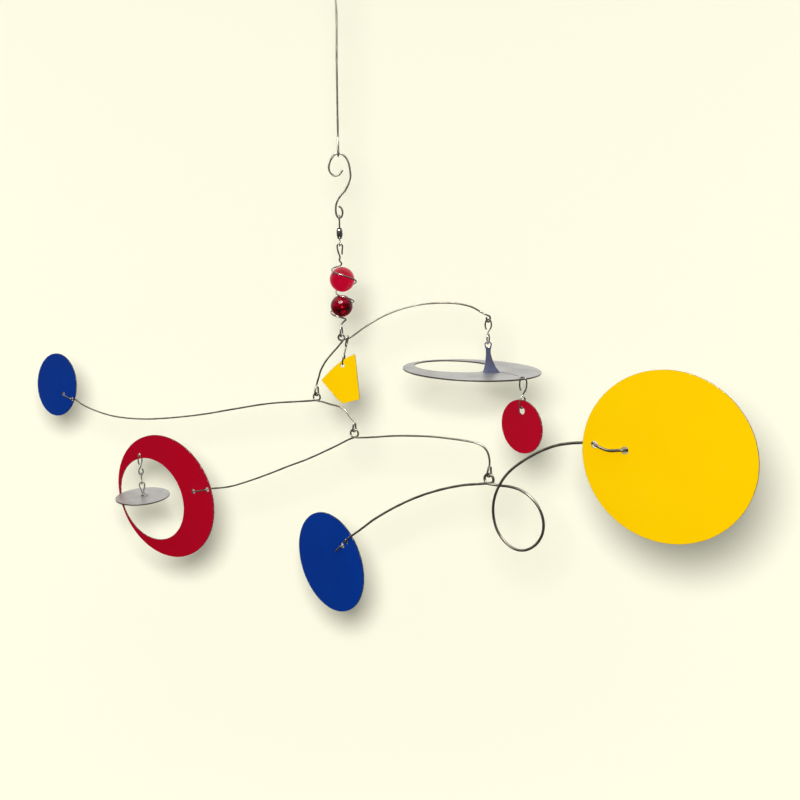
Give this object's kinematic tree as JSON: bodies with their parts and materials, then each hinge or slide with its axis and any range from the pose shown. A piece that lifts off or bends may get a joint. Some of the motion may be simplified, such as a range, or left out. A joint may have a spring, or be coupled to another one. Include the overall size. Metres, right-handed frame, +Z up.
{
  "type": "hanging mobile",
  "caption": "Balanced wire mobile with flat painted plates, a horizontal ring with an off-centre window, glass beads and a swivel, hung by a top eye.",
  "frame": {"origin": "centre of the top eye that the mobile hangs by", "axes": "+Z up along the hanging line, +X to the right along the upper arm, +Y to the back"},
  "size_m": [0.4792, 0.3038, 0.4312],
  "materials": {
    "steel": "bright drawn wire",
    "sheet_metal": "satin grey sheet, sawn edge",
    "yellow": "gloss enamel",
    "red": "satin gloss enamel",
    "blue": "satin gloss enamel",
    "glass": "clear red glass"
  },
  "bodies": {
    "hanger": {"hanger_wire": "steel", "hook": "steel", "swivel_barrel": "steel", "swivel_upper_eye": "steel"},
    "drop": {"swivel_lower_eye": "steel", "bead_wire": "steel", "upper_bead": "glass", "lower_bead": "glass"},
    "upper_arm": {"upper_arm_wire": "steel", "yellow_plate_link": "steel", "yellow_plate": "yellow"},
    "ring": {"halo_link": "steel", "halo": "sheet_metal", "red_disc_link": "steel", "red_disc": "red"},
    "second_arm": {"second_arm_wire": "steel", "left_blue_disc": "blue"},
    "third_arm": {"third_arm_wire": "steel", "red_crescent": "red", "crescent_link": "steel", "disc_hook": "steel", "grey_disc_eye": "steel", "grey_disc": "sheet_metal"},
    "low_arm": {"low_arm_wire": "steel", "low_blue_disc": "blue", "yellow_disc": "yellow"}
  },
  "joints": [
    {"name": "swivel", "type": "hinge", "parent": "hanger", "child": "drop", "pos_m": [0, 0, -0.1425], "axis": [0, 0, 1], "continuous": true},
    {"name": "upper_arm_turn", "type": "hinge", "parent": "drop", "child": "upper_arm", "pos_m": [0, 0, -0.2086], "axis": [0, 0, 1], "range_deg": [-30, 30]},
    {"name": "ring_turn", "type": "hinge", "parent": "upper_arm", "child": "ring", "pos_m": [0.0955, 0, -0.1985], "axis": [0, 0, 1], "range_deg": [-30, 30]},
    {"name": "second_arm_turn", "type": "hinge", "parent": "upper_arm", "child": "second_arm", "pos_m": [-0.017, 0, -0.2472], "axis": [0, 0, 1], "range_deg": [-35, 15]},
    {"name": "third_arm_turn", "type": "hinge", "parent": "second_arm", "child": "third_arm", "pos_m": [0.00854, -0.01416, -0.2683], "axis": [0, 0, 1], "range_deg": [-35, 15]},
    {"name": "low_arm_turn", "type": "hinge", "parent": "third_arm", "child": "low_arm", "pos_m": [0.09141, -0.05547, -0.2854], "axis": [0, 0, 1], "range_deg": [-35, 25]}
  ]
}
